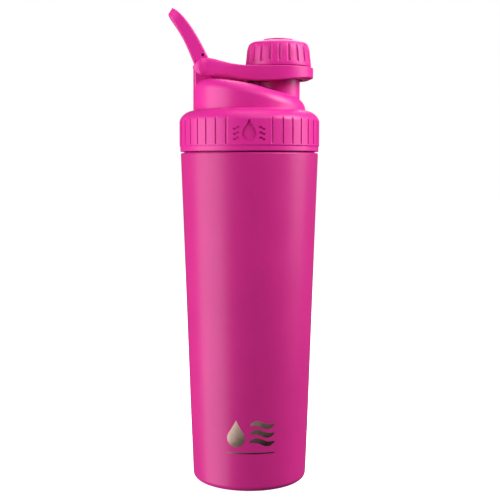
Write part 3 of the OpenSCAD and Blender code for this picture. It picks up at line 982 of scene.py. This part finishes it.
def cap_profile():
    """Outer profile of the cap from its lower edge to the middle of its top: (r, z, flute share)."""
    band = rounded([(CORE_R - 0.05, CAP_LOW, 0), (CAP_R, CAP_LOW, 0.45), (CAP_R, 273.5, 0)], steps=4)
    profile = [(CORE_R - 0.05, CAP_LOW + 0.4, 0)] + [(r, z, 0) for r, z in band]
    stations = [(274.4, 0), (FLUTE_LOW - 0.3, 0)]
    stations += [(FLUTE_LOW, 0.55), (FLUTE_LOW + 0.35, 0.88), (FLUTE_LOW + 0.9, 1)]
    stations += [(z, 1) for z in CAP_SIDE_Z] + [(z, 0) for z in CAP_CREST_Z]
    profile += [(float(CAP_SIDE(z)), z, share) for z, share in stations]
    return profile + [(DISC_R, CAP_HI.z, 0), (5, CAP_HI.z, 0), (0.6, CAP_HI.z, 0)]


def make_cap(plastic):
    """Fluted screw cap: the flutes start above a plain band and run out over the shoulder."""
    a, depths = cap_columns()

    def around(radius, z):
        return np.stack([CAP_X + radius * np.cos(a), radius * np.sin(a), np.full(len(a), z)], 1)

    outer = []
    for r, z, share in cap_profile():
        floor = float(CAP_SIDE(FLUTE_LOW)) - FLUTE - FLUTE_TAPER * (z - FLUTE_LOW)
        cut = floor + (FLUTE - depths * share)
        outer.append(around(np.where((depths > 0) & (share > 0), np.minimum(r, cut), r), z))
    inner = [around(r, z) for r, z in ((0.6, CAP_CEILING), (CORE_R - 0.4, CAP_CEILING),
                                       (CORE_R - 0.05, CAP_CEILING - 0.4), (CORE_R - 0.05, 279))]
    finish_piece(cap_solid(outer, inner), "cap", "lid_plastic", plastic, "cap_grip", sharp=34)


def make_badge(plastic):
    """The plain disc set into the top of the cap, with a raised edge."""
    badge = lathe("cap_badge", rounded(
        [(0.4, CAP_HI.z - 0.3, 0), (DISC_R, CAP_HI.z - 0.3, 0), (DISC_R, DISC_TOP, 0.3), (8.7, DISC_TOP, 0.15),
         (8.4, DISC_TOP - 0.18, 0.1), (0.4, DISC_TOP - 0.12, 0)], steps=5), x=CAP_X)
    finish_piece(badge, "cap", "lid_plastic", plastic, "cap_disc")


def cap_solid(outer, inner):
    """Outer rows run from the bottom edge up to the middle, inner rows from the middle down."""
    rows = np.array(outer + inner)
    n, m = rows.shape[:2]
    verts = rows.reshape(-1, 3).tolist()
    faces = []
    top = len(outer) - 1
    for i in range(n):
        if i == top:
            continue
        a, b = i * m, (i + 1) % n * m
        for k in range(m):
            j = (k + 1) % m
            faces.append((a + k, a + j, b + j, b + k))
    for i in (top, top + 1):
        c = len(verts)
        verts.append(rows[i].mean(axis=0).tolist())
        for k in range(m):
            j = (k + 1) % m
            a = i * m
            faces.append((c, a + k, a + j) if i == top else (c, a + j, a + k))
    ob = mesh_piece("fluted_cap", verts, faces)
    v = np.array(verts)
    if sum(float(np.dot(v[f[0]], np.cross(v[f[1]], v[f[2]]))) for f in faces) < 0:
        ob.data.flip_normals()
    return ob


# Studio -------------------------------------------------------------------------------
def make_camera():
    """A long lens, looking slightly down at the front."""
    cam = bpy.data.cameras.new("camera")
    cam.lens, cam.sensor_width = 72, 36
    ob = bpy.data.objects.new("camera", cam)
    ob.location = CAMERA_PLACE
    ob.rotation_euler = (math.radians(90 - CAMERA_DROP), 0, 0)
    bpy.context.scene.collection.objects.link(ob)
    bpy.context.scene.camera = ob


def area_light(name, size, power, place, aim):
    """A rectangular light at place, facing aim."""
    light = bpy.data.lights.new(name, "AREA")
    light.shape, light.size, light.size_y = "RECTANGLE", *size
    light.energy = power
    ob = bpy.data.objects.new(name, light)
    bpy.context.scene.collection.objects.link(ob)
    back = np.array(place, float) - np.array(aim, float)
    back /= np.linalg.norm(back)
    side = np.cross((0, 0, 1), back)
    side /= np.linalg.norm(side)
    up = np.cross(back, side)
    m = np.identity(4)
    m[:3, 0], m[:3, 1], m[:3, 2], m[:3, 3] = side, up, back, place
    ob.matrix_world = Matrix(m.tolist())
    return ob


def white_surround():
    """A white backdrop for the camera that gives the object only a dim fill."""
    world = bpy.data.worlds.new("studio")
    world.use_nodes = True
    tree = world.node_tree
    background = tree.nodes["Background"]
    background.inputs["Color"].default_value = (1, 1, 1, 1)
    path = tree.nodes.new("ShaderNodeLightPath")
    level = tree.nodes.new("ShaderNodeMapRange")
    level.inputs["To Min"].default_value = FILL
    level.inputs["To Max"].default_value = 1.0
    tree.links.new(path.outputs["Is Camera Ray"], level.inputs["Value"])
    tree.links.new(level.outputs["Result"], background.inputs["Strength"])
    bpy.context.scene.world = world


def pale_floor():
    """A white floor that takes the contact shadow but neither lights nor shades anything; its glow is painted
    light, a little dimmer round the bottle and full further out.
    """
    m = Nodes("pale_floor")
    m.color(m.noise(3, 2), [(0.3, (0.90, 0.90, 0.90)), (0.7, (0.93, 0.93, 0.93))])
    # Painted light: the floor glows at 0.8 near the bottle, rising to full strength 35 cm away.
    away = m.add("ShaderNodeVectorMath", operation="LENGTH")
    m.link(m.coord, away.inputs[0])
    m.link(m.spread(away.outputs["Value"], 0.8, 1.0, 0.05, 0.35), m.shader.inputs["Emission Strength"])
    m.set(Roughness=0.8, Specular_IOR_Level=0.1, Emission_Color=(1, 1, 1, 1))
    corners = [(x * FLOOR_REACH, y * FLOOR_REACH, 0) for x, y in ((-1, -1), (1, -1), (1, 1), (-1, 1))]
    floor = mesh_piece("floor", corners, [(0, 1, 2, 3)])
    floor.data.materials.append(m.mat)
    floor.visible_diffuse = floor.visible_glossy = floor.visible_shadow = False


def softbox(name, azimuth, height, size, radiance, distance=1.0):
    """A tall soft light aimed at the bottle; azimuth 0 is the camera's side, + its right."""
    a = math.radians(azimuth)
    place = (distance * math.sin(a), -distance * math.cos(a), height)
    area_light(name, size, math.pi * size[0] * size[1] * radiance, place, (0, 0, 0.17))


def high_box(name, size, place, radiance):
    """A square soft light above the bottle, aimed at its lid."""
    area_light(name, (size, size), math.pi * size * size * radiance, place, (0, 0, 0.22))


def make_studio():
    """Tall boxes to both sides, and square ones above the right, the middle, the front and the back."""
    bpy.context.scene.view_settings.view_transform = "Standard"
    white_surround()
    pale_floor()
    softbox("left_box", -70, 0.12, (1.0, 1.5), 5.2)
    softbox("right_box", 88, 0.5, (0.6, 0.95), 5.2)
    high_box("high_right_box", 0.6, (0.95, -0.32, 0.85), 14.6)
    high_box("top_box", 0.6, (0.01, -0.1, 1.2), 2.6)
    high_box("front_box", 0.25, (0.12, -0.38, 0.6), 3.0)
    high_box("back_box", 0.7, (0.1, 0.8, 1.1), 5.5)


# Assembly -----------------------------------------------------------------------------
def dress_frame(materials):
    """New materials on the CAD nodes that show as they are."""
    for node, material in materials.items():
        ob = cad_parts[node]
        ob.data.materials.clear()
        ob.data.materials.append(material)
        for p in ob.data.polygons:
            p.material_index = 0


def main():
    """Camera, studio and materials first, then each piece."""
    make_camera()
    make_studio()
    paint = powder_coat()
    lid_plastic = satin_plastic("lid_plastic_magenta", LID_TONE)
    grid_plastic = satin_plastic("grid_plastic_magenta", GRID_TONE, 0.42)
    steel = turned_steel("spun_steel")
    pin_steel = turned_steel("pin_steel", (0.66, 0.66, 0.66), 0.22, 0.04)
    seal = silicone()
    make_shell(paint)
    make_neck(steel)
    make_base(paint)
    make_mark(etched_steel())
    make_lid(lid_plastic)
    make_strap(lid_plastic)
    make_loop(lid_plastic)
    make_cap(lid_plastic)
    make_badge(lid_plastic)
    dress_frame({
        "base_plate": steel, "vacuum_seal": solder(), "getter_capsule": steel, "inner_liner": steel,
        "lid_gasket": seal, "cap_gasket": seal, "mixing_grid": grid_plastic, "hinge_pin": pin_steel,
        "cap_core": lid_plastic})


main()
